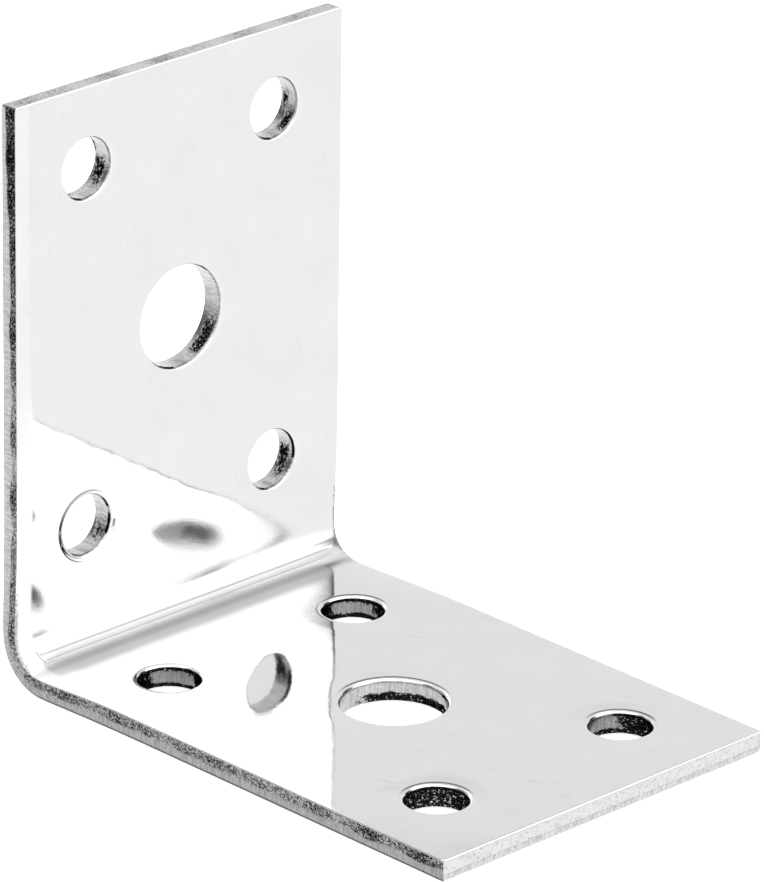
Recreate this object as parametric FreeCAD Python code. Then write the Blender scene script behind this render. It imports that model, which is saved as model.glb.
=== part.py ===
import FreeCAD, Part
import math
import os

os.makedirs("parts", exist_ok=True)

# One strip of stainless sheet, blanked, pierced and folded once, in millimetres.
# X runs along the fold, the base leg points to -Y, and the upright leg stands up +Z.
sheet_width = 34.7
sheet_thickness = 1.9
base_length = 50.0
upright_height = 48.9
inside_bend_radius = 2.6

# Each leg has two rows of nail holes, and one bolt hole midway between the rows.
bolt_hole_diameter = 8.5
nail_hole_diameter = 5.0
nail_pitch_across = 20.0
upright_row_above_underside = 11.9
upright_row_below_top = 6.8
base_row_from_back = 11.5
base_row_from_free_end = 8.3

# The punch enters each hole from the inside of the angle: a round lip, then a straight wall,
# then a torn end that opens out towards the outside.
lip_radius = 0.35
torn_end_depth = 0.7
torn_end_flare = 0.03

# The sheared outline: edges drawn round on the outside, slightly fallen-away long edges on the inside.
outer_round_width = 0.3
outer_round_depth = 0.75
inner_roll_width = 1.45
inner_roll_depth = 0.05
inner_end_radius = 0.15

# At both ends of the fold the inner edge is drawn away, fading out along the legs.
# The bending tool leaves a shallow track along the inside of the fold.
drawn_edge_width = 2.2
drawn_edge_depth = 0.22
drawn_edge_fade = 11.0
track_width = 0.8
track_depth = 0.06
track_gap_left = 1.9
track_gap_right = 1.0

outside_bend_radius = inside_bend_radius + sheet_thickness
upright_pitch_along = upright_height - upright_row_above_underside - upright_row_below_top
base_pitch_along = base_length - base_row_from_back - base_row_from_free_end
half_width = sheet_width / 2
back_y = base_length / 2
front_y = -base_length / 2
fold_axis_y = back_y - outside_bend_radius
fold_axis_z = outside_bend_radius
quarter_turn = 90.0
full_turn = 360.0
clearance = sheet_thickness
along_x = FreeCAD.Vector(1, 0, 0)
along_y = FreeCAD.Vector(0, 1, 0)
along_z = FreeCAD.Vector(0, 0, 1)
fold_axis_point = FreeCAD.Vector(0, fold_axis_y, fold_axis_z)


def face_from(edges):
    """A flat face inside a closed chain of edges."""
    return Part.Face(Part.Wire(edges))


def polygon_face(points):
    """A flat face inside a closed row of corners."""
    return Part.Face(Part.makePolygon(points + points[:1]))


def arc_between(start, end, centre):
    """The short arc from start to end about centre."""
    radius = start.sub(centre).Length
    middle = start.add(end).multiply(1 / 2).sub(centre)
    middle.normalize()
    return Part.Arc(start, centre.add(middle.multiply(radius)), end).toShape()


def round_corner(start, end, tip):
    """The quarter of an ellipse from start to end that rounds off the square corner at tip."""
    centre = start.add(end).sub(tip)
    if start.sub(centre).Length < end.sub(centre).Length:
        start, end = end, start
    return Part.Ellipse(start, end, centre).toShape(0, math.pi / 2)


def roll_radius(width, depth):
    """Radius of the arc that leaves a flat face smoothly and falls by depth over width."""
    return (width ** 2 + depth ** 2) / (2 * depth)


def at(across, from_outside):
    """A point of the section across the sheet at the top of the fold, with the outside of the angle at +Y."""
    return FreeCAD.Vector(across, back_y - from_outside, fold_axis_z)


def strip_section():
    """The section across the sheet."""
    side = half_width
    outer = side - outer_round_width
    rise = outer_round_depth
    inner = side - inner_roll_width
    shoulder = sheet_thickness - inner_roll_depth
    roll_centre = sheet_thickness - roll_radius(inner_roll_width, inner_roll_depth)
    return face_from([
        Part.makeLine(at(-outer, 0), at(outer, 0)),
        round_corner(at(outer, 0), at(side, rise), at(side, 0)),
        Part.makeLine(at(side, rise), at(side, shoulder)),
        arc_between(at(side, shoulder), at(inner, sheet_thickness), at(inner, roll_centre)),
        Part.makeLine(at(inner, sheet_thickness), at(-inner, sheet_thickness)),
        arc_between(at(-inner, sheet_thickness), at(-side, shoulder), at(-inner, roll_centre)),
        Part.makeLine(at(-side, shoulder), at(-side, rise)),
        round_corner(at(-side, rise), at(-outer, 0), at(-side, 0)),
    ])


def folded_strip():
    """The strip with its one fold: a straight leg up, a quarter turn and a straight leg forward."""
    section = strip_section()
    upright = section.extrude(along_z * (upright_height - outside_bend_radius))
    fold = section.revolve(fold_axis_point, -along_x, quarter_turn)
    section.rotate(fold_axis_point, along_x, -quarter_turn)
    base = section.extrude(-along_y * (base_length - outside_bend_radius))
    return upright.fuse([fold, base]).removeSplitter()


def edge_trim(corner, inward_a, inward_b):
    """The sliver outside a rounding along an edge that runs in X, given how far it takes in each face."""
    start = -half_width - clearance
    tip = FreeCAD.Vector(start, corner.y, corner.z)
    on_a = tip.add(inward_a)
    on_b = tip.add(inward_b)
    out_a = FreeCAD.Vector(inward_a).normalize() * clearance
    out_b = FreeCAD.Vector(inward_b).normalize() * clearance
    past_a = on_a.sub(out_b)
    past_b = on_b.sub(out_a)
    past_tip = tip.sub(out_a).sub(out_b)
    sliver = face_from([
        round_corner(on_a, on_b, tip),
        Part.makeLine(on_b, past_b),
        Part.makeLine(past_b, past_tip),
        Part.makeLine(past_tip, past_a),
        Part.makeLine(past_a, on_a),
    ])
    return sliver.extrude(along_x * (sheet_width + 2 * clearance))


def end_trims():
    """Roundings of the two free ends: full on the outside of the angle, slight on the inside."""
    back_corner = FreeCAD.Vector(0, back_y, upright_height)
    inner_top = FreeCAD.Vector(0, back_y - sheet_thickness, upright_height)
    front_corner = FreeCAD.Vector(0, front_y, 0)
    inner_front = FreeCAD.Vector(0, front_y, sheet_thickness)
    return [
        edge_trim(back_corner, -along_y * outer_round_depth, -along_z * outer_round_width),
        edge_trim(inner_top, along_y * inner_end_radius, -along_z * inner_end_radius),
        edge_trim(front_corner, along_y * outer_round_width, along_z * outer_round_depth),
        edge_trim(inner_front, along_y * inner_end_radius, -along_z * inner_end_radius),
    ]


def pierced_hole(diameter, mouth_centre, into_metal):
    """What the punch takes out, entering at mouth_centre and travelling along into_metal."""
    radius = diameter / 2
    mouth = radius + lip_radius
    torn_start = sheet_thickness - torn_end_depth
    torn_radius = radius + torn_end_flare

    def reach(distance, depth):
        return FreeCAD.Vector(distance, 0, -depth)

    half = face_from([
        Part.makeLine(reach(0, -clearance), reach(mouth, -clearance)),
        Part.makeLine(reach(mouth, -clearance), reach(mouth, 0)),
        arc_between(reach(mouth, 0), reach(radius, lip_radius), reach(mouth, lip_radius)),
        Part.makeLine(reach(radius, lip_radius), reach(radius, torn_start)),
        Part.makeLine(reach(radius, torn_start), reach(torn_radius, sheet_thickness)),
        Part.makeLine(reach(torn_radius, sheet_thickness), reach(torn_radius, sheet_thickness + clearance)),
        Part.makeLine(reach(torn_radius, sheet_thickness + clearance), reach(0, sheet_thickness + clearance)),
        Part.makeLine(reach(0, sheet_thickness + clearance), reach(0, -clearance)),
    ])
    slug = half.revolve(FreeCAD.Vector(0, 0, 0), along_z, full_turn)
    slug.Placement = FreeCAD.Placement(mouth_centre, FreeCAD.Rotation(-along_z, into_metal))
    return slug


def all_holes():
    """A bolt hole and its four nail holes in each leg."""
    inner_y = back_y - sheet_thickness
    bolt_z = upright_row_above_underside + upright_pitch_along / 2
    bolt_y = back_y - base_row_from_back - base_pitch_along / 2
    upright_bolt = FreeCAD.Vector(0, inner_y, bolt_z)
    base_bolt = FreeCAD.Vector(0, bolt_y, sheet_thickness)
    holes = [
        pierced_hole(bolt_hole_diameter, upright_bolt, along_y),
        pierced_hole(bolt_hole_diameter, base_bolt, -along_z),
    ]
    for side in (-along_x, along_x):
        for end in (-1, 1):
            across = side * (nail_pitch_across / 2)
            in_upright = upright_bolt.add(across).add(along_z * (end * upright_pitch_along / 2))
            in_base = base_bolt.add(across).add(along_y * (end * base_pitch_along / 2))
            holes.append(pierced_hole(nail_hole_diameter, in_upright, along_y))
            holes.append(pierced_hole(nail_hole_diameter, in_base, -along_z))
    return holes


def drawn_edges():
    """What is missing from the inner edges at the two ends of the fold, fading out along the legs."""
    far_side = half_width + drawn_edge_width
    past_face = sheet_thickness + drawn_edge_depth
    wedge = polygon_face([
        at(far_side, past_face),
        at(half_width - 2 * drawn_edge_width, past_face),
        at(far_side, sheet_thickness - 2 * drawn_edge_depth),
    ])
    up = wedge.extrude(along_z * drawn_edge_fade - along_y * drawn_edge_depth)
    round_fold = wedge.revolve(fold_axis_point, -along_x, quarter_turn)
    wedge.rotate(fold_axis_point, along_x, -quarter_turn)
    forward = wedge.extrude(along_z * drawn_edge_depth - along_y * drawn_edge_fade)
    right = up.fuse([round_fold, forward])
    left = right.mirror(FreeCAD.Vector(0, 0, 0), along_x)
    return [right, left]


def tool_track():
    """The shallow track that the bending tool presses along the inside of the fold."""
    left = -half_width + track_gap_left
    right = half_width - track_gap_right
    near = inside_bend_radius / 2
    far = inside_bend_radius + track_depth
    track_angle = math.degrees(track_width / inside_bend_radius)
    start_angle = (quarter_turn - track_angle) / 2
    floor = polygon_face([
        FreeCAD.Vector(left, fold_axis_y + near, fold_axis_z),
        FreeCAD.Vector(right, fold_axis_y + near, fold_axis_z),
        FreeCAD.Vector(right, fold_axis_y + far, fold_axis_z),
        FreeCAD.Vector(left, fold_axis_y + far, fold_axis_z),
    ])
    floor.rotate(fold_axis_point, along_x, -start_angle)
    return floor.revolve(fold_axis_point, -along_x, track_angle)


bracket = folded_strip().cut(end_trims() + drawn_edges() + all_holes() + [tool_track()])
bracket.Solids[0].exportStep("parts/angle_bracket.step")
print("solids", len(bracket.Solids), "valid", bracket.isValid(), "volume", round(bracket.Volume, 1), bracket.BoundBox)
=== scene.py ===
import math
import bpy
import numpy as np
from mathutils import Matrix, Vector, geometry, noise


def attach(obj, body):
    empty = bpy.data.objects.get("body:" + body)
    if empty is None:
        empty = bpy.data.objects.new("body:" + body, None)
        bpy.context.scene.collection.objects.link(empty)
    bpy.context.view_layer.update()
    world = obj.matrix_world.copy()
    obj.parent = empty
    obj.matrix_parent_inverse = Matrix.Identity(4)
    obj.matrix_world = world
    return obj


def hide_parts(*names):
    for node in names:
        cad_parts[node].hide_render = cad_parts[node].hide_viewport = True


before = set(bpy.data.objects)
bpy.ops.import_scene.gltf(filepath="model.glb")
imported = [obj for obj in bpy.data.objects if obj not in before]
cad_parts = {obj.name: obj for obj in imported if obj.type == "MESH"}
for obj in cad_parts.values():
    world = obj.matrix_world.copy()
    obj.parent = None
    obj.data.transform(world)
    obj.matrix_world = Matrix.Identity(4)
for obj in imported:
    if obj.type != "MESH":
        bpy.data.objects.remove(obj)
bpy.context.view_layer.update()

MM = 0.001

# The sheet, in millimetres, as the part's source gives it.
WIDTH = 34.7
THICK = 1.9
BASE = 50.0
UPRIGHT = 48.9
BACK_Y = BASE / 2
HALF = WIDTH / 2

# The fold is tightest in its middle and eases off into both legs.
FOLD_RUN = 8.0
TIGHT_SHARE = 0.1
# Height, above the outside of the sheet, of the line that keeps its length in the fold.
NEUTRAL = 0.55 * THICK
# Length on the inside of the fold for each length along that line.
INSIDE_SHARE = 0.75


def fold_line():
    """Even steps along the fold, with the turn and the place of the neutral line at each."""
    run = np.linspace(0, FOLD_RUN, 4001)
    off = np.clip(np.abs(run / FOLD_RUN * 2 - 1) - TIGHT_SHARE, 0, None) / (1 - TIGHT_SHARE)
    turn = np.cumsum(1 + np.cos(math.pi * off))
    turn = (turn - turn[0]) / (turn[-1] - turn[0]) * math.pi / 2
    y = -np.cumsum(np.sin(turn)) * run[1]
    z = -np.cumsum(np.cos(turn)) * run[1]
    return run, turn, y - y[0] + BACK_Y - NEUTRAL, z - z[-1] + NEUTRAL


LINE_RUN, LINE_TURN, LINE_Y, LINE_Z = fold_line()

# Length along the strip, from the top edge down, round the fold and out to the free end.
FOLD_START = UPRIGHT - LINE_Z[0]
FOLD_END = FOLD_START + FOLD_RUN
FOLD_MIDDLE = (FOLD_START + FOLD_END) / 2
STRIP = FOLD_END + LINE_Y[-1] + BASE / 2

BOLT_R = 4.25
NAIL_R = 2.5
PITCH_X = 20.0
PITCH_S = 30.2
UP_BOLT_S = UPRIGHT - 27.0
BASE_BOLT_S = STRIP - 23.4

# How far the fold has bent the two long edges outwards, over what width, and how far along the strip.
CURL_LEFT, CURL_LEFT_W = 0.28, 3.6
CURL_RIGHT, CURL_RIGHT_W = 0.22, 5.0
CURL_REACH = 7.6
# The right border sags a little more where the base leaves the fold.
SAG, SAG_W, SAG_FROM_FOLD, SAG_REACH = 0.08, 4.0, 8, 5

# The inner face falls away along its long edges, and every edge is slightly rounded.
LEFT_ROLL_W, LEFT_ROLL_SLOPE, LEFT_ROLL_BEND = 1.45, 0.02, 0.35
RIGHT_ROLL_W, RIGHT_ROLL_D = 0.55, 0.027
EDGE_R = 0.05
END_R = 0.09
CORNER_R = 0.3
# The outer edges are drawn round, over this width and depth.
OUTER_W, OUTER_D = 0.3, 0.75

# Width and depth of the round lips. The torn end of a hole opens out a little.
UPRIGHT_LIP, BASE_LIP = (0.2, 0.25), (0.33, 0.36)
TORN_FLARE = 0.03
# The face is slightly dished round every hole, and has sunk further close to it, in the order of HOLES below.
DISH, DISH_W = 0.018, 2.2
HOLE_SINK = [0.01, 0.01, 0.07, 0.01, 0.01, 0.006, 0.01, 0.006, 0.01, 0.006]
# How far the face has been drawn down at the very rim of the holes in the base.
BASE_SHOULDER, BASE_SHOULDER_W = 0.012, 0.13
# The fold has thinned the sheet a little.
THINNED = 0.11

# The two fine grooves of the bending tool: place and depth. Their left ends meet a short slanting mark.
GROOVES = ((-0.12, 0.06), (0.43, 0.03))
GROOVE_HALF_W = 0.24
END_MARK_X, END_MARK_SLANT, END_MARK_D, END_MARK_HALF_W = -15.6, 0.25, 0.05, 0.14

# How the mesh is divided.
BOLT_POINTS, NAIL_POINTS = 128, 88
INNER_RINGS = (0, 0.05, 0.11, 0.18, 0.26, 0.35, 0.45, 0.6, 0.8, 1.1, 1.45, 1.75, 2.05)
INNER_CLEAR = 2.45
OUTER_RINGS = (0.35, 0.6)
OUTER_CLEAR = 1.0
EDGE_ROOM = 0.8
WALL_ROWS, ROUND_ROWS, LIP_ROWS, HOLE_ROWS = 12, 8, 8, 14
POLISHED, SHEARED, PIERCED = 0, 1, 2


def holes():
    """Every hole as (across, along, radius) on the flat strip."""
    rows = []
    for middle in (UP_BOLT_S, BASE_BOLT_S):
        rows.append((0.0, middle, BOLT_R))
        for across in (-PITCH_X / 2, PITCH_X / 2):
            for along in (-PITCH_S / 2, PITCH_S / 2):
                rows.append((across, middle + along, NAIL_R))
    return rows


HOLES = holes()


def smooth(value, low, high):
    """0 below low, 1 above high, smooth between."""
    t = np.clip((np.asarray(value, float) - low) / (high - low), 0, 1)
    return t * t * (3 - 2 * t)


def curl(x, s):
    """How far the fold has bent the two long edges outwards."""
    away = HALF - np.abs(x)
    fade = np.exp(-((s - FOLD_MIDDLE) / CURL_REACH) ** 2)
    left = CURL_LEFT * fade * np.clip(1 - away / CURL_LEFT_W, 0, 1) ** 2
    right = CURL_RIGHT * fade * np.clip(1 - away / CURL_RIGHT_W, 0, 1) ** 3
    sag_fade = np.exp(-((s - FOLD_MIDDLE - SAG_FROM_FOLD) / SAG_REACH) ** 2)
    sag = SAG * sag_fade * np.clip(1 - away / SAG_W, 0, 1) ** 2
    return np.where(x < 0, left, right + sag)


def round_corners(x, s):
    """Ease the four square corners of the strip into small quarter circles."""
    past_x = np.clip(np.abs(x) - HALF + CORNER_R, 0, None)
    past_s = np.clip(np.abs(s - STRIP / 2) - STRIP / 2 + CORNER_R, 0, None)
    share = 1 - np.maximum(past_x, past_s) / np.maximum(np.hypot(past_x, past_s), 1e-9)
    share = np.where((past_x > 0) & (past_s > 0), share, 0)
    return x - np.sign(x) * past_x * share, s - np.sign(s - STRIP / 2) * past_s * share


def fold(x, s, n):
    """Place flat-strip points in space: x across, s along, n up from the outside of the sheet."""
    x, s, n = (np.asarray(v, float) for v in (x, s, n))
    x, s = round_corners(x, s)
    run = s - FOLD_START
    turn = np.interp(run, LINE_RUN, LINE_TURN)
    y = np.interp(run, LINE_RUN, LINE_Y) - np.clip(s - FOLD_END, 0, None)
    z = np.interp(run, LINE_RUN, LINE_Z) + np.clip(-run, 0, None)
    reach = NEUTRAL - n + curl(x, s)
    return np.stack([x, y + np.cos(turn) * reach, z - np.sin(turn) * reach], axis=-1)


def arc_drop(distance, width, depth):
    """Fall of a surface that leaves its plane smoothly at width from an edge and is depth lower at it."""
    radius = (width ** 2 + depth ** 2) / (2 * depth)
    reach = np.clip(width - np.asarray(distance, float), 0, width)
    return radius - np.sqrt(radius ** 2 - reach ** 2)


def ease_in(value, bend):
    """0 below 0, then a straight rise that starts with a soft bend."""
    value = np.clip(np.asarray(value, float), 0, None)
    return np.where(value < bend, value ** 2 / (2 * bend), value - bend / 2)


def track(x, s):
    """Depth of the grooves that the bending tool left in the inside of the fold, and of their end mark."""
    q = INSIDE_SHARE * (s - FOLD_MIDDLE)
    depth = 0.0
    for middle, deep in GROOVES:
        depth = depth + deep * (1 - smooth(np.abs(q - middle), 0.0, GROOVE_HALF_W))
    depth = depth * smooth(x, -15.55, -15.4) * (1 - smooth(x, 15.6, 16.6))
    off_mark = np.abs(x - END_MARK_X - END_MARK_SLANT * q)
    end_mark = END_MARK_D * (1 - smooth(off_mark, 0.0, END_MARK_HALF_W))
    return depth + end_mark * smooth(q, -0.6, -0.3) * (1 - smooth(q, 0.5, 0.8))


def inner_height(x, s):
    """Height of the polished inner face above the outside of the sheet."""
    x = np.asarray(x, float)
    s = np.asarray(s, float)
    side = HALF - np.abs(x)
    end = np.minimum(s, STRIP - s)
    left_roll = LEFT_ROLL_SLOPE * ease_in(LEFT_ROLL_W - side, LEFT_ROLL_BEND)
    left_roll = left_roll * (1 - smooth(s, FOLD_END + 1, FOLD_END + 9))
    right_roll = arc_drop(side, RIGHT_ROLL_W, RIGHT_ROLL_D)
    drop = np.where(x < 0, left_roll, right_roll) + arc_drop(side, EDGE_R, EDGE_R)
    drop = np.maximum(drop, arc_drop(end, END_R, END_R))
    for (hx, hs, hr), sink in zip(HOLES, HOLE_SINK):
        away = np.hypot(x - hx, s - hs) - hr
        drop = drop + DISH * (1 - smooth(away, 0.1, DISH_W)) + sink * (1 - smooth(away, 0.2, 0.6))
        if hs > FOLD_MIDDLE:
            drop = drop + BASE_SHOULDER * np.clip(1 - (away - BASE_LIP[0]) / BASE_SHOULDER_W, 0, 2) ** 2
    thinned = THINNED * (1 - smooth(np.abs(s - FOLD_MIDDLE), 2.5, 10.0))
    return THICK - drop - thinned - track(x, s)


def edge_distance(x, s):
    """Distance along the sheet to the nearest edge of the strip or of a hole."""
    away = np.minimum(HALF - np.abs(x), np.minimum(s, STRIP - s))
    for hx, hs, hr in HOLES:
        away = np.minimum(away, np.abs(np.hypot(x - hx, s - hs) - hr))
    return np.clip(away, 0, None)


def lines(parts):
    """A sorted row of values without repeats."""
    return np.unique(np.round(np.concatenate([np.asarray(p, float) for p in parts]), 5))


def grid_lines():
    """Where the mesh lines run across and along the strip."""
    near_edge = np.array([0, 0.006, 0.018, 0.036, 0.06, 0.15, 0.3, 0.5, 0.75, 1.0, 1.25, 1.45])
    end_mark = np.linspace(-15.85, -15.2, 14)
    across = lines([-HALF + near_edge, end_mark, np.linspace(-14.8, 14.8, 31), HALF - near_edge])
    near_end = np.array([0, 0.008, 0.025, 0.05, 0.09, 0.1, 0.18, 0.3])
    grooves = np.linspace(-0.4, 1.05, 40)
    bend = np.concatenate([np.linspace(-4.2, -0.5, 20), grooves, np.linspace(1.2, 4.2, 17)])
    up = np.linspace(EDGE_ROOM, FOLD_START - 0.4, 86)
    base = np.linspace(FOLD_END + 0.4, STRIP - EDGE_ROOM, 86)
    along = lines([near_end, up, FOLD_MIDDLE + bend, base, STRIP - near_end])
    return across, along


def circle(hole, radius, count):
    """Points round a hole on the flat strip; radius may differ from point to point."""
    angle = np.arange(count) * 2 * math.pi / count
    return np.stack([hole[0] + radius * np.cos(angle), hole[1] + radius * np.sin(angle)], axis=1)


def ring_count(hole):
    """How many points go round a hole."""
    return BOLT_POINTS if hole[2] == BOLT_R else NAIL_POINTS


def in_upright(hole):
    """Whether a hole is in the upright leg."""
    return hole[1] < FOLD_MIDDLE


def lip_of(hole):
    """Width and depth of the round lip of a hole."""
    return UPRIGHT_LIP if in_upright(hole) else BASE_LIP


def near_hole(place, extra):
    """Whether a place on the flat strip is inside a hole or closer to it than extra."""
    return any(math.hypot(place[0] - h[0], place[1] - h[1]) < h[2] + extra for h in HOLES)


def triangulate(points, loops):
    """Triangles over the points, leaving out what lies inside the hole loops."""
    edges = []
    for loop in loops:
        edges += [(loop[k], loop[(k + 1) % len(loop)]) for k in range(len(loop))]
    flat = [Vector((float(p[0]), float(p[1]))) for p in points]
    _, _, faces, origin, _, _ = geometry.delaunay_2d_cdt(flat, edges, [], 0, 1e-6)
    index = [o[0] for o in origin]
    triangles = np.array([[index[v] for v in f] for f in faces])
    middle = points[triangles].mean(axis=1)
    keep = np.ones(len(triangles), bool)
    for hole, loop in zip(HOLES, loops):
        ring = points[loop]
        off = middle - np.array(hole[:2])
        turn = np.arctan2(off[:, 1], off[:, 0]) / (2 * math.pi) % 1.0
        first = (turn * len(loop)).astype(int) % len(loop)
        start = ring[first]
        chord = ring[(first + 1) % len(loop)] - start
        past = middle - start
        keep &= chord[:, 0] * past[:, 1] - chord[:, 1] * past[:, 0] < 0
    return triangles[keep]


def rough(point, scale, seed):
    """Repeatable noise, about -1 to 1."""
    shift = (seed, -seed, 2 * seed)
    return noise.noise(Vector([value * scale + move for value, move in zip(point, shift)]))


# Torn patches of each hole wall, in the order of HOLES.
# Each runs from one angle to another, and from one height above the outside of the sheet to another.
DEEP, SHALLOW = -1.0, 1.38
TEARS = [
    [(16, 64, 0.45, 1.7)],
    [(-2, 54, 0.1, 1.3), (-45, 10, DEEP, 0.25), (100, 260, DEEP, 0.6)],
    [(8, 52, 0.35, 1.5), (110, 250, DEEP, 0.7)],
    [(18, 62, 0.75, 1.7), (-12, 22, 0.2, 0.85), (120, 260, DEEP, 0.8)],
    [(-12, 54, 0.15, 1.25), (110, 240, DEEP, 0.6)],
    [(-82, 60, DEEP, 0.72), (60, 200, DEEP, 0.4)],
    [(2, 60, DEEP, 1.7), (200, 278, DEEP, 1.7), (-360, 360, DEEP, 0.35), (-360, 360, SHALLOW, 2.0)],
    [(-30, 80, DEEP, 1.7), (-180, 0, DEEP, 1.7), (-360, 360, SHALLOW, 2.0)],
    [(-2, 60, DEEP, 1.7), (200, 272, DEEP, 1.7), (-360, 360, DEEP, 0.4), (-360, 360, SHALLOW, 2.0)],
    [(-45, 80, DEEP, 1.7), (-360, 360, DEEP, 0.45), (-150, -20, 1.5, 2.0)],
]
# How much painted shade darkens the torn patches of each hole, and how much its burnished wall.
HOLE_TORN_SHADE = [1.05, 0.95, 0.75, 1.1, 1.0, 1.05, 1.15, 0.88, 1.15, 1.0]
HOLE_BURNISH_SHADE = [0.4, 0.35, 0.32, 0.38, 0.4, 0.35, 0.8, 0.8, 0.72, 0.75]
# Painted shade on the torn lower part of the lips and on the outline's rounding into the outside.
LIP_SHADE, ROUND_SHADE = 1.2, 0.9

# Where the lower part of each lip is torn too, as angles, in the same order.
LIP_TEARS = [
    [(96, 122), (-72, -46)],
    [(98, 122)],
    [(-48, -20), (-8, 34)],
    [(96, 124)],
    [(100, 120), (-56, 16)],
    [(12, 38), (-150, -126)],
    [(-185, 65)],
    [(-185, 65)],
    [(-185, 65)],
    [(-60, 65), (-170, -130)],
]


def degrees_off(angle, start, end):
    """How many degrees each angle is from the middle of a stretch."""
    return np.abs((np.degrees(angle) - (start + end) / 2 + 180) % 360 - 180)


def lip_tear(number, angle):
    """1 where the lower part of a lip is torn."""
    torn = np.zeros(len(angle))
    for start, end in LIP_TEARS[number]:
        past = degrees_off(angle, start, end) - (end - start) / 2
        torn = np.maximum(torn, 1 - smooth(past, -8, 4))
    return torn


def hole_tear(number, angle, n):
    """How torn the wall of a hole is, from 0 where it is burnished to 1, and how deep inside a tear."""
    spots = [(3 * math.cos(a), 3 * math.sin(a), 1.2 * c) for a, c in zip(angle, n)]
    ragged = np.array([rough(p, 1.3, 11.0 + number) + 0.5 * rough(p, 3.7, 17.0 + number) for p in spots])
    torn = np.zeros(len(n))
    depth = np.zeros(len(n))
    for start, end, low, high in TEARS[number]:
        half = (end - start) / 2
        room = half - degrees_off(angle, start, end) + 12 * ragged
        inside = np.minimum(room if half < 180 else 90, 90) / 18
        inside = np.minimum(inside, np.minimum(n - low, high - n) / 0.26 + 0.6 * ragged)
        torn = np.maximum(torn, smooth(inside, -0.6, 0.6))
        depth = np.maximum(depth, smooth(inside, 0.2, 1.3))
    return torn, depth


class Strip:
    """The mesh as it grows: points in space, their places on the flat strip, their finish with the painted
    shade of the cut walls, and the faces.
    """

    def __init__(self):
        self.points = []
        self.spots = []
        self.finish = []
        self.faces = []
        self.total = 0

    def row(self, x, s, n, torn=0.0, painted_shade=0.0, burnish_shade=0.0):
        """Add points and return their numbers."""
        self.points.append(fold(x, s, n))
        self.spots.append(np.column_stack([x, s, n]))
        self.finish.append(np.column_stack([torn + 0 * n, painted_shade + 0 * n, burnish_shade + 0 * n]))
        self.total += len(n)
        return list(range(self.total - len(n), self.total))

    def join(self, upper, lower, material):
        """Add the faces between two closed rows of points."""
        for k in range(len(upper)):
            m = (k + 1) % len(upper)
            self.faces.append(((upper[m], lower[m], lower[k], upper[k]), material))


def inner_face(strip, across, along):
    """Add the polished inside. Gives its flat places, and the numbers round its outline and each hole."""
    last_i = len(across) - 1
    last_j = len(along) - 1
    outline = [(i, 0) for i in range(last_i)] + [(last_i, j) for j in range(last_j)]
    outline += [(i, last_j) for i in range(last_i, 0, -1)] + [(0, j) for j in range(last_j, 0, -1)]
    flat = []
    index = {}
    for i, x in enumerate(across):
        for j, s in enumerate(along):
            if not near_hole((x, s), INNER_CLEAR):
                index[i, j] = len(flat)
                flat.append((x, s))
    rims = []
    for hole in HOLES:
        count = ring_count(hole)
        rims.append(list(range(len(flat), len(flat) + count)))
        for away in INNER_RINGS:
            flat += [tuple(p) for p in circle(hole, hole[2] + lip_of(hole)[0] + away, count)]
    flat = np.array(flat)
    strip.row(flat[:, 0], flat[:, 1], inner_height(flat[:, 0], flat[:, 1]))
    strip.faces += [((a, c, b), POLISHED) for a, b, c in triangulate(flat, rims)]
    return flat, [index[key] for key in outline], rims


def inset(edge, amount):
    """Draw the places near the outline of the strip inwards, by amount at the outline itself."""
    share = (EDGE_ROOM - amount) / EDGE_ROOM
    x = np.abs(edge[:, 0])
    x = np.where(x > HALF - EDGE_ROOM, HALF - EDGE_ROOM + (x - HALF + EDGE_ROOM) * share, x)
    s = edge[:, 1]
    s = np.where(s < EDGE_ROOM, EDGE_ROOM - (EDGE_ROOM - s) * share, s)
    s = np.where(s > STRIP - EDGE_ROOM, STRIP - EDGE_ROOM + (s - STRIP + EDGE_ROOM) * share, s)
    return np.sign(edge[:, 0]) * x, s


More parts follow.
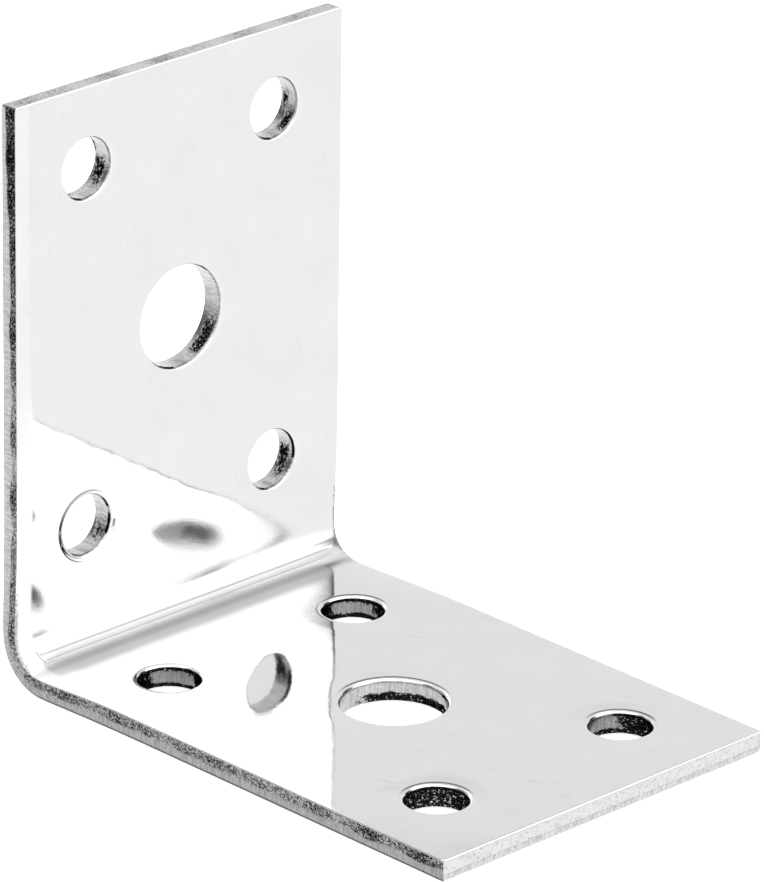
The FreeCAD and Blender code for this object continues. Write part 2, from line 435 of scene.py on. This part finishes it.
def outline_wall(strip, loop, edge, top):
    """Add the sheared outline: torn next to the inner face, then burnished and drawn round into the outside."""
    x = edge[:, 0]
    s = edge[:, 1]
    out_x = np.where(np.isclose(np.abs(x), HALF), np.sign(x), 0)
    out_s = np.where(np.isclose(s, 0), -1.0, np.where(np.isclose(s, STRIP), 1.0, 0))
    on_side = np.abs(out_x)
    near_top = 0.3 * (1 - smooth(s, 5, 14)) + 0.25 * (1 - smooth(s, 0.5, 3))
    beyond_fold = 0.17 * smooth(s, FOLD_MIDDLE - 10, FOLD_MIDDLE)
    # Painted shade of the cut outline: the long sides much darker than the ends, more so near the top and the
    # free end, the top end darker than the free end, and the burnished sides darker from the fold on.
    side_shade = 0.64 + 0.3 * (1 - smooth(s, 6, 30)) + 0.1 * smooth(s, STRIP - 10, STRIP - 3)
    end_shade = np.where(s < FOLD_MIDDLE, 0.26, 0.05)
    side_burnish_shade = on_side * (0.33 + 0.25 * smooth(s, FOLD_MIDDLE - 8, FOLD_MIDDLE + 2))
    slow = np.array([rough((a, b, 0), 0.35, 9.0) for a, b in zip(x, s)])
    painted_shade = np.where(on_side > 0, side_shade + 0.25 * slow, end_shade * (1 + 2 * slow))
    last = loop
    for share in np.linspace(0, 1, WALL_ROWS + 1)[1:]:
        n = top + (OUTER_D - top) * share
        wobble = np.array([rough(p, 2.6, 3.0) for p in zip(x, s, n)])
        torn_side = smooth(n + 0.25 * slow - 0.2 + near_top + beyond_fold, 0.76, 1.04)
        torn = np.where(on_side > 0, torn_side, 0.9)
        push = (0.018 * wobble - 0.02) * torn * (1 - smooth(n, 1.7, 1.8))
        fresh = strip.row(x + out_x * push, s + out_s * push, n, torn, painted_shade, side_burnish_shade)
        strip.join(last, fresh, SHEARED)
        last = fresh
    for angle in np.linspace(0, math.pi / 2, ROUND_ROWS + 1)[1:]:
        n = np.full(len(loop), OUTER_D * (1 - math.sin(angle)))
        round_x, round_s = inset(edge, OUTER_W * (1 - math.cos(angle)))
        # The rounding into the outside is darkened further as painted shade.
        burnish_shade = side_burnish_shade * (1 + 2.6 * smooth(angle, 0.55, 1.1))
        fresh = strip.row(round_x, round_s, n, 0.0, ROUND_SHADE, burnish_shade)
        strip.join(last, fresh, SHEARED)
        last = fresh
    return last, np.stack([round_x, round_s], axis=1)


def hole_wall(strip, number, rim, top):
    """Add the wall of one hole: a round lip, then a burnished wall with torn patches."""
    hole = HOLES[number]
    count = len(rim)
    angle = np.arange(count) * 2 * math.pi / count
    lip_width, lip_depth = lip_of(hole)
    torn_from = 0.55 if in_upright(hole) else 0.9
    burnish_shade = HOLE_BURNISH_SHADE[number]
    last = rim
    for step in np.linspace(0, math.pi / 2, LIP_ROWS + 1)[1:]:
        ring = circle(hole, hole[2] + lip_width * (1 - math.sin(step)), count)
        n = top - lip_depth * (1 - math.cos(step))
        torn = lip_tear(number, angle) * smooth(step, torn_from, torn_from + 0.25)
        # The lip is darkened by painted shade like the wall below it.
        fresh = strip.row(ring[:, 0], ring[:, 1], n, torn, LIP_SHADE, burnish_shade)
        strip.join(fresh, last, PIERCED if step > torn_from + 0.2 else POLISHED)
        last = fresh
    for share in np.linspace(0, 1, HOLE_ROWS + 1)[1:]:
        n = (top - lip_depth) * (1 - share)
        spots = [(math.cos(a) * hole[2], math.sin(a) * hole[2], c) for a, c in zip(angle, n)]
        wobble = np.array([rough(p, 3.0, 7.0 + number) for p in spots])
        torn, depth = hole_tear(number, angle, n)
        # Painted shade: in the upright, torn patches darker deeper inside them; in both legs, the burnished
        # wall darker on one side of each hole.
        if in_upright(hole):
            painted_shade = HOLE_TORN_SHADE[number] * (0.6 + 0.4 * depth)
            side_burnish_shade = burnish_shade * smooth(np.cos(angle - math.radians(25)), 0.55, 0.95)
        else:
            painted_shade = HOLE_TORN_SHADE[number]
            side_burnish_shade = burnish_shade * (1 - smooth(np.cos(angle - math.radians(110)), 0.2, 0.7))
        radius = hole[2] + torn * (0.02 + 0.03 * wobble) + TORN_FLARE * (1 - smooth(n, 0.0, 0.7))
        ring = circle(hole, radius, count)
        fresh = strip.row(ring[:, 0], ring[:, 1], n, torn, painted_shade, side_burnish_shade)
        strip.join(fresh, last, PIERCED)
        last = fresh
    return last, ring


def outer_face(strip, across, along, walls):
    """Add the outside, between the last rows of the walls. Gives the flat places of its own points."""
    known = []
    flat = []
    loops = []
    for numbers, places in walls:
        loops.append(list(range(len(flat), len(flat) + len(numbers))))
        known += numbers
        flat += [tuple(p) for p in places]
    first_new = len(flat)
    for x in across:
        for s in along:
            inside = abs(x) < HALF - EDGE_ROOM and EDGE_ROOM < s < STRIP - EDGE_ROOM
            if inside and not near_hole((x, s), OUTER_CLEAR):
                flat.append((x, s))
    for hole in HOLES:
        for away in OUTER_RINGS:
            flat += [tuple(p) for p in circle(hole, hole[2] + away, ring_count(hole))]
    flat = np.array(flat)
    fresh = flat[first_new:]
    known += strip.row(fresh[:, 0], fresh[:, 1], np.zeros(len(fresh)))
    strip.faces += [((known[a], known[b], known[c]), POLISHED) for a, b, c in triangulate(flat, loops[1:])]
    return fresh


def face_normals(places, height):
    """Normals, towards the inside of the angle, of a face at height(x, s) above the outside of the sheet."""
    x = places[:, 0]
    s = places[:, 1]
    step = 0.01
    across = fold(x + step, s, height(x + step, s)) - fold(x - step, s, height(x - step, s))
    along = fold(x, s + step, height(x, s + step)) - fold(x, s - step, height(x, s - step))
    normal = np.cross(along, across)
    return normal / np.linalg.norm(normal, axis=1, keepdims=True)


def set_normals(mesh, inner_normals, outer_normals):
    """Give the two broad faces their true normals, and leave the walls the ones of the mesh."""
    vertex = np.empty(len(mesh.loops), int)
    mesh.loops.foreach_get("vertex_index", vertex)
    sizes = np.empty(len(mesh.polygons), int)
    mesh.polygons.foreach_get("loop_total", sizes)
    material = np.empty(len(mesh.polygons), int)
    mesh.polygons.foreach_get("material_index", material)
    normals = np.zeros((len(vertex), 3))
    inner = (vertex < len(inner_normals)) & (np.repeat(material, sizes) != SHEARED)
    normals[inner] = inner_normals[vertex[inner]]
    first_outer = len(mesh.vertices) - len(outer_normals)
    outer = vertex >= first_outer
    normals[outer] = outer_normals[vertex[outer] - first_outer]
    mesh.normals_split_custom_set(normals.tolist())


def mark_sharp(mesh, rows):
    """Crease the mesh where a wall meets a face."""
    crease = set()
    for row in rows:
        for k in range(len(row)):
            crease.add(tuple(sorted((row[k], row[(k + 1) % len(row)]))))
    flags = [tuple(sorted(e.vertices)) in crease for e in mesh.edges]
    mesh.edges.foreach_set("use_edge_sharp", flags)


def set_values(mesh, name, values):
    """Give every point of the mesh a value that its materials can read."""
    mesh.attributes.new(name, "FLOAT", "POINT").data.foreach_set("value", np.ascontiguousarray(values))


def build_mesh():
    """The folded strip as one closed mesh, with its cut walls in materials of their own."""
    across, along = grid_lines()
    strip = Strip()
    flat, loop, rims = inner_face(strip, across, along)
    height = inner_height(flat[:, 0], flat[:, 1])
    walls = [outline_wall(strip, loop, flat[loop], height[loop])]
    for number, rim in enumerate(rims):
        walls.append(hole_wall(strip, number, rim, height[rim]))
    outer = outer_face(strip, across, along, walls)

    mesh = bpy.data.meshes.new("bracket_sheet")
    points = np.concatenate(strip.points) * MM
    mesh.from_pydata([tuple(p) for p in points], [], [face for face, _ in strip.faces])
    mesh.polygons.foreach_set("material_index", [material for _, material in strip.faces])
    mesh.polygons.foreach_set("use_smooth", [True] * len(strip.faces))
    spots = np.concatenate(strip.spots)
    x = spots[:, 0]
    s = spots[:, 1]
    mesh.attributes.new("flat", "FLOAT_VECTOR", "POINT").data.foreach_set("vector", spots.ravel())
    set_values(mesh, "edge", edge_distance(x, s))
    # How deep the bending tool's grooves are on the inner face, kept for its colour as painted shade.
    on_face = (spots[:, 2] > THICK / 2) & (HALF - np.abs(x) > 1)
    set_values(mesh, "groove_shade", on_face * track(x, s) / 0.045)
    # How torn each point is, and how much painted shade darkens the torn and the burnished walls there.
    for name, values in zip(("torn", "painted_shade", "burnish_shade"), np.concatenate(strip.finish).T):
        set_values(mesh, name, values)
    mesh.update()
    mark_sharp(mesh, [loop] + [numbers for numbers, _ in walls[1:]])
    set_normals(mesh, face_normals(flat, inner_height), -face_normals(outer, lambda x, s: 0 * x))
    return mesh


mesh = build_mesh()
bracket = bpy.data.objects.new("bracket_sheet", mesh)
bpy.context.scene.collection.objects.link(bracket)


class Nodes:
    """A small helper for wiring one steel material."""

    def __init__(self, name):
        self.material = bpy.data.materials.new(name)
        self.material.use_nodes = True
        self.tree = self.material.node_tree
        self.shader = self.tree.nodes["Principled BSDF"]
        self.shader.inputs["Metallic"].default_value = 1.0
        self.flat = self.attribute("flat", "Vector")

    def add(self, kind, inputs, **settings):
        """A node whose inputs are linked to sockets or set to constants."""
        node = self.tree.nodes.new(kind)
        for key, value in settings.items():
            setattr(node, key, value)
        for key, value in inputs.items():
            if isinstance(value, bpy.types.NodeSocket):
                self.tree.links.new(value, node.inputs[key])
            else:
                node.inputs[key].default_value = value
        return node

    def attribute(self, name, output="Fac"):
        """A value that every point of the mesh carries."""
        settings = {"attribute_type": "GEOMETRY", "attribute_name": name}
        return self.add("ShaderNodeAttribute", {}, **settings).outputs[output]

    def stretch(self, scale, turn=0.0, shift=(0, 0, 0)):
        """The flat-strip position, turned about the sheet's normal and stretched."""
        inputs = {"Vector": self.flat, "Rotation": (0, 0, turn), "Location": shift}
        turned = self.add("ShaderNodeMapping", inputs)
        return self.add("ShaderNodeMapping", {"Vector": turned.outputs[0], "Scale": scale}).outputs[0]

    def noise(self, vector, scale, detail=2.0, roughness=0.5):
        """Soft noise, about 0 to 1."""
        inputs = {"Vector": vector, "Scale": scale, "Detail": detail, "Roughness": roughness}
        return self.add("ShaderNodeTexNoise", inputs).outputs["Fac"]

    def ramp(self, value, low, high, start=0.0, end=1.0):
        """start below low, end above high, smooth between."""
        inputs = {"Value": value, "From Min": low, "From Max": high, "To Min": start, "To Max": end}
        return self.add("ShaderNodeMapRange", inputs, interpolation_type="SMOOTHSTEP").outputs["Result"]

    def band(self, value, low, full, still_full, high):
        """1 from full to still_full, 0 below low and above high, smooth between."""
        return self.times(self.ramp(value, low, full), self.ramp(value, still_full, high, 1.0, 0.0))

    def math(self, operation, a, b):
        """The result of one operation on two values."""
        return self.add("ShaderNodeMath", {0: a, 1: b}, operation=operation).outputs[0]

    def times(self, a, b):
        """The product of two values."""
        return self.math("MULTIPLY", a, b)

    def mix_in(self, value, parts):
        """value plus a share of each part, given as (part, share)."""
        for part, share in parts:
            value = self.math("ADD", value, self.times(part, share))
        return value

    def blend(self, factor, a, b):
        """a where factor is 0, b where it is 1."""
        return self.add("ShaderNodeMix", {0: factor, 2: a, 3: b}, data_type="FLOAT").outputs[0]

    def grey(self, value):
        """The same value in red, green and blue."""
        return self.add("ShaderNodeCombineColor", {0: value, 1: value, 2: value}).outputs[0]

    def bump(self, height, distance, below=None):
        """Normals of a relief, on top of those of the relief below it."""
        inputs = {"Height": height, "Distance": distance, "Strength": 1.0}
        if below is not None:
            inputs["Normal"] = below
        return self.add("ShaderNodeBump", inputs).outputs["Normal"]

    def feed(self, **sockets):
        """Link values to the shader's inputs."""
        for key, value in sockets.items():
            self.tree.links.new(value, self.shader.inputs[key.replace("_", " ")])


def polished_face():
    """The broad faces: polished inside, strained and worn at the fold with painted shade and a painted
    highlight near it, and a duller rolled finish outside.
    """
    n = Nodes("polished_face")
    place = n.add("ShaderNodeSeparateXYZ", {"Vector": n.flat})
    across = place.outputs["X"]
    along = place.outputs["Y"]
    height = place.outputs["Z"]
    edge = n.attribute("edge")

    # The fold has strained the polish, most in its core. A line beside it is darkened as painted shade.
    strained = n.band(along, FOLD_START - 7, FOLD_START + 1, FOLD_END - 4, FOLD_END + 1)
    core = n.band(along, FOLD_MIDDLE - 3, FOLD_MIDDLE, FOLD_MIDDLE + 1, FOLD_MIDDLE + 4)
    painted_shade_line = n.band(along, FOLD_MIDDLE + 1.1, FOLD_MIDDLE + 1.95, FOLD_MIDDLE + 1.95, FOLD_MIDDLE + 2.9)
    # The bending tool's grooves are darkened as painted shade.
    groove_shade = n.attribute("groove_shade")

    # The left border is rubbed along the upright leg and round the fold, and close to the fold its colour is
    # lightened as a painted highlight.
    rubbed = n.times(n.ramp(across, 1.2 - HALF, 1.7 - HALF, 1.0, 0.0), n.ramp(height, 0.8, 1.2))
    rubbed = n.times(rubbed, n.ramp(along, FOLD_END, FOLD_END + 6, 1.0, 0.0))
    painted_highlight = n.times(rubbed, n.ramp(along, FOLD_START - 16, FOLD_START - 6))

    # Wear along the edges, and edges that are rougher here and there, mostly at the fold, where their colour is
    # also darkened as painted shade.
    wear = n.times(n.ramp(edge, 0.02, 0.7, 1.0, 0.0), n.ramp(n.noise(n.flat, 1.7, 3.0, 0.65), 0.42, 0.62))
    broken_and_shaded = n.band(along, FOLD_MIDDLE - 8, FOLD_MIDDLE - 4, FOLD_MIDDLE, FOLD_MIDDLE + 3)
    broken_and_shaded = n.times(broken_and_shaded, n.ramp(edge, 0.0, 0.6, 1.0, 0.0))
    broken_and_shaded = n.mix_in(broken_and_shaded, [(n.math("SUBTRACT", n.noise(n.flat, 3.5, 4.0, 0.75), 0.5), 2.4)])
    broken_and_shaded = n.ramp(n.times(broken_and_shaded, n.ramp(edge, 0.3, 0.8, 1.0, 0.0)), 0.45, 0.85)

    # A few fine scratches and pits.
    scratch = n.ramp(n.noise(n.stretch((6.5, 0.3, 1), 0.35, (3, 1, 0)), 1.0, 0.0), 0.82, 0.87)
    cell = n.add("ShaderNodeTexVoronoi", {"Vector": n.flat, "Scale": 0.16, "Randomness": 1.0})
    pit = n.ramp(cell.outputs["Distance"], 0.012, 0.022, 1.0, 0.0)
    mark = n.math("MAXIMUM", scratch, pit)

    # The outside of the sheet keeps its rolled finish.
    outside = n.ramp(height, 0.1, 0.5, 1.0, 0.0)
    rolled = n.ramp(n.noise(n.stretch((7, 0.2, 1)), 1.0, 3.0, 0.6), 0.3, 0.7)
    worn = n.ramp(n.noise(n.flat, 0.35, 4.0, 0.65), 0.35, 0.7)
    finish = n.mix_in(n.times(rolled, 0.06), [(worn, 0.05)])

    normal = n.bump(n.noise(n.flat, 0.11, 1.0), 5e-5)
    normal = n.bump(n.noise(n.flat, 0.8, 2.0), 3e-6, normal)
    normal = n.bump(n.times(n.noise(n.flat, 5.0, 2.0, 0.6), n.math("ADD", strained, 0.08)), 4e-6, normal)
    normal = n.bump(n.math("SUBTRACT", n.times(wear, 1.2), mark), 1.0e-6, normal)
    rough = n.ramp(n.noise(n.flat, 0.25, 3.0), 0.3, 0.7, 0.032, 0.06)
    rough = n.mix_in(rough, [(mark, 0.08), (wear, 0.08), (strained, 0.12), (core, 0.06)])
    rough = n.mix_in(rough, [(rubbed, 0.26), (broken_and_shaded, 0.25)])
    rough = n.mix_in(rough, [(outside, n.math("ADD", finish, 0.14))])
    tone = n.ramp(n.noise(n.flat, 0.3, 4.0), 0.3, 0.7, 0.572, 0.588)
    # Painted highlight on the left border near the fold; painted shade on the edges at the fold, in the grooves
    # and on the line beside them.
    tone = n.mix_in(tone, [(painted_highlight, 0.2), (mark, -0.07), (broken_and_shaded, -0.33), (groove_shade, -0.15), (painted_shade_line, -0.15)])
    tone = n.math("SUBTRACT", tone, n.times(outside, n.math("ADD", finish, 0.06)))
    n.feed(Base_Color=n.grey(tone), Roughness=rough, Normal=normal)
    return n.material


def cut_wall(name, coarse_share, contrast):
    """Cut walls: burnished and finely streaked, or torn into grains, and darkened by painted shade from light
    to near black.
    """
    n = Nodes(name)
    torn = n.attribute("torn")
    painted_shade = n.attribute("painted_shade")
    burnish_shade = n.attribute("burnish_shade")
    coarse = n.noise(n.stretch((3.8, 3.8, 4.4)), 1.0, 3.0, 0.6)
    fine = n.noise(n.stretch((10, 10, 12)), 1.0, 2.0, 0.6)
    streak = n.noise(n.stretch((6, 6, 0.7)), 1.0, 3.0, 0.6)
    grains = n.mix_in(n.times(coarse, coarse_share), [(fine, 1 - coarse_share)])
    ragged = n.ramp(n.mix_in(torn, [(n.math("SUBTRACT", grains, 0.5), 3.2)]), 0.38, 0.62)
    normal = n.bump(n.blend(ragged, n.times(streak, 0.2), grains), 1.0e-4)
    # Painted shade darkens the torn grains.
    lit = n.mix_in(grains, [(painted_shade, -0.24)])
    torn_tone = n.ramp(lit, 0.37 - 0.06 / contrast, 0.37 + 0.06 / contrast, 0.006, 0.55)
    speckle = n.mix_in(n.times(streak, 0.55), [(fine, 0.45)])
    # Painted shade darkens the burnished wall.
    burnished = n.times(n.ramp(speckle, 0.33, 0.65, 0.32, 0.60), n.ramp(burnish_shade, 0.0, 1.0, 1.0, 0.3))
    tone = n.blend(ragged, burnished, torn_tone)
    rough = n.blend(ragged, 0.24, 0.40)
    # Painted shade also dims the edge tint of the reflection.
    shade = n.math("MAXIMUM", n.times(ragged, painted_shade), n.math("SUBTRACT", burnish_shade, 0.6))
    rim = n.ramp(shade, 0.3, 1.0, 1.0, 0.1)
    n.feed(Base_Color=n.grey(tone), Roughness=rough, Normal=normal, Specular_Tint=n.grey(rim))
    return n.material


mesh.materials.append(polished_face())
mesh.materials.append(cut_wall("sheared_wall", 0.45, 0.6))
mesh.materials.append(cut_wall("pierced_wall", 0.7, 1.0))
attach(bracket, "root")
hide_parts("angle_bracket")

# Camera at the photograph's place, aimed so that the frame's middle is on its axis.
AZIMUTH, ELEVATION, ROLL = math.radians(-44.146), math.radians(22.625), math.radians(0.747)
DISTANCE, FOCAL_PX, FRAME_PX = 648.7, 8374.9, 882
AIM_RIGHT, AIM_UP = -0.4, -17.5
SENSOR = 36.0
right = Vector((math.cos(AZIMUTH), math.sin(AZIMUTH), 0))
level_back = Vector((math.sin(AZIMUTH), -math.cos(AZIMUTH), 0))
back = level_back * math.cos(ELEVATION) + Vector((0, 0, math.sin(ELEVATION)))
up = back.cross(right)
target = Vector((0, 0.05, 24.95))
eye = target + back * DISTANCE
aim = target + (right * AIM_RIGHT + up * AIM_UP) * (DISTANCE / FOCAL_PX)
axis = (eye - aim).normalized()
up_dir = axis.cross(Matrix.Rotation(ROLL, 3, axis) @ right).normalized()
side_dir = up_dir.cross(axis).normalized()
camera_data = bpy.data.cameras.new("camera")
camera_data.sensor_fit = "VERTICAL"
camera_data.sensor_height = SENSOR
camera_data.lens = FOCAL_PX * SENSOR / FRAME_PX
camera_data.clip_start = 0.01
camera_data.clip_end = 20
camera = bpy.data.objects.new("camera", camera_data)
pose = Matrix((side_dir, up_dir, axis)).transposed().to_4x4()
pose.translation = eye * MM
camera.matrix_world = pose
bpy.context.scene.collection.objects.link(camera)
bpy.context.scene.camera = camera

# A plain pale floor, just under the lowest edge of the part.
FLOOR_REACH = 3.0
FLOOR_LEVEL = -0.25 * MM
floor_mesh = bpy.data.meshes.new("floor")
corners = [(x * FLOOR_REACH, y * FLOOR_REACH, FLOOR_LEVEL) for x, y in ((-1, -1), (1, -1), (1, 1), (-1, 1))]
floor_mesh.from_pydata(corners, [], [(0, 1, 2, 3)])
floor = bpy.data.objects.new("floor", floor_mesh)
floor_material = bpy.data.materials.new("floor")
floor_material.use_nodes = True
floor_shader = floor_material.node_tree.nodes["Principled BSDF"]
floor_shader.inputs["Base Color"].default_value = (0.9, 0.9, 0.9, 1)
floor_shader.inputs["Roughness"].default_value = 0.9
floor_shader.inputs["Specular IOR Level"].default_value = 0.0
floor_shader.inputs["Emission Color"].default_value = (1, 1, 1, 1)
floor_shader.inputs["Emission Strength"].default_value = 0.5
floor_mesh.materials.append(floor_material)
floor.visible_glossy = False
bpy.context.scene.collection.objects.link(floor)

# Studio: an even white tent, with soft panels and dimmer patches in it, each laid over those before it.
# A row gives the direction, the brightness, and the half-angles where it is full and where it has faded out.
PANELS = [
    ((-0.25, -0.10, 0.97), 3.0, 20, 65),
    ((0.10, 0.38, 0.92), 1.2, 16, 36),
    ((0.42, -0.86, 0.28), 3.6, 15, 35),
    ((0.05, -0.93, -0.38), 1.72, 18, 37),
    ((0.88, -0.36, 0.25), 0.03, 12, 21),
    ((0.70, -0.66, 0.26), 0.5, 3.5, 7.2),
    ((0.55, 0.56, 0.62), 0.25, 6, 13),
    ((-0.62, 0.66, 0.36), 0.25, 10, 38),
]
TENT, BELOW, HORIZON = 1.21, 1.47, 0.12


def studio():
    """A world whose brightness depends on the direction alone."""
    world = bpy.data.worlds.new("studio")
    world.use_nodes = True
    tree = world.node_tree
    nodes, links = tree.nodes, tree.links
    background = nodes["Background"]
    background.inputs["Color"].default_value = (1, 1, 1, 1)
    direction = nodes.new("ShaderNodeTexCoord").outputs["Generated"]
    split = nodes.new("ShaderNodeSeparateXYZ")
    links.new(direction, split.inputs[0])
    level = nodes.new("ShaderNodeMapRange")
    level.interpolation_type = "SMOOTHSTEP"
    for name, value in (("From Min", -HORIZON), ("From Max", HORIZON), ("To Min", BELOW), ("To Max", TENT)):
        level.inputs[name].default_value = value
    links.new(split.outputs["Z"], level.inputs["Value"])
    value = level.outputs["Result"]
    for toward, brightness, full, faded in PANELS:
        dot = nodes.new("ShaderNodeVectorMath")
        dot.operation = "DOT_PRODUCT"
        dot.inputs[1].default_value = Vector(toward).normalized()
        links.new(direction, dot.inputs[0])
        share = nodes.new("ShaderNodeMapRange")
        share.interpolation_type = "SMOOTHSTEP"
        share.inputs["From Min"].default_value = math.cos(math.radians(faded))
        share.inputs["From Max"].default_value = math.cos(math.radians(full))
        links.new(dot.outputs["Value"], share.inputs["Value"])
        blend = nodes.new("ShaderNodeMix")
        blend.data_type = "FLOAT"
        links.new(share.outputs["Result"], blend.inputs["Factor"])
        links.new(value, blend.inputs["A"])
        blend.inputs["B"].default_value = brightness
        value = blend.outputs["Result"]
    links.new(value, background.inputs["Strength"])
    return world


bpy.context.scene.world = studio()
bpy.context.scene.view_settings.view_transform = "Standard"
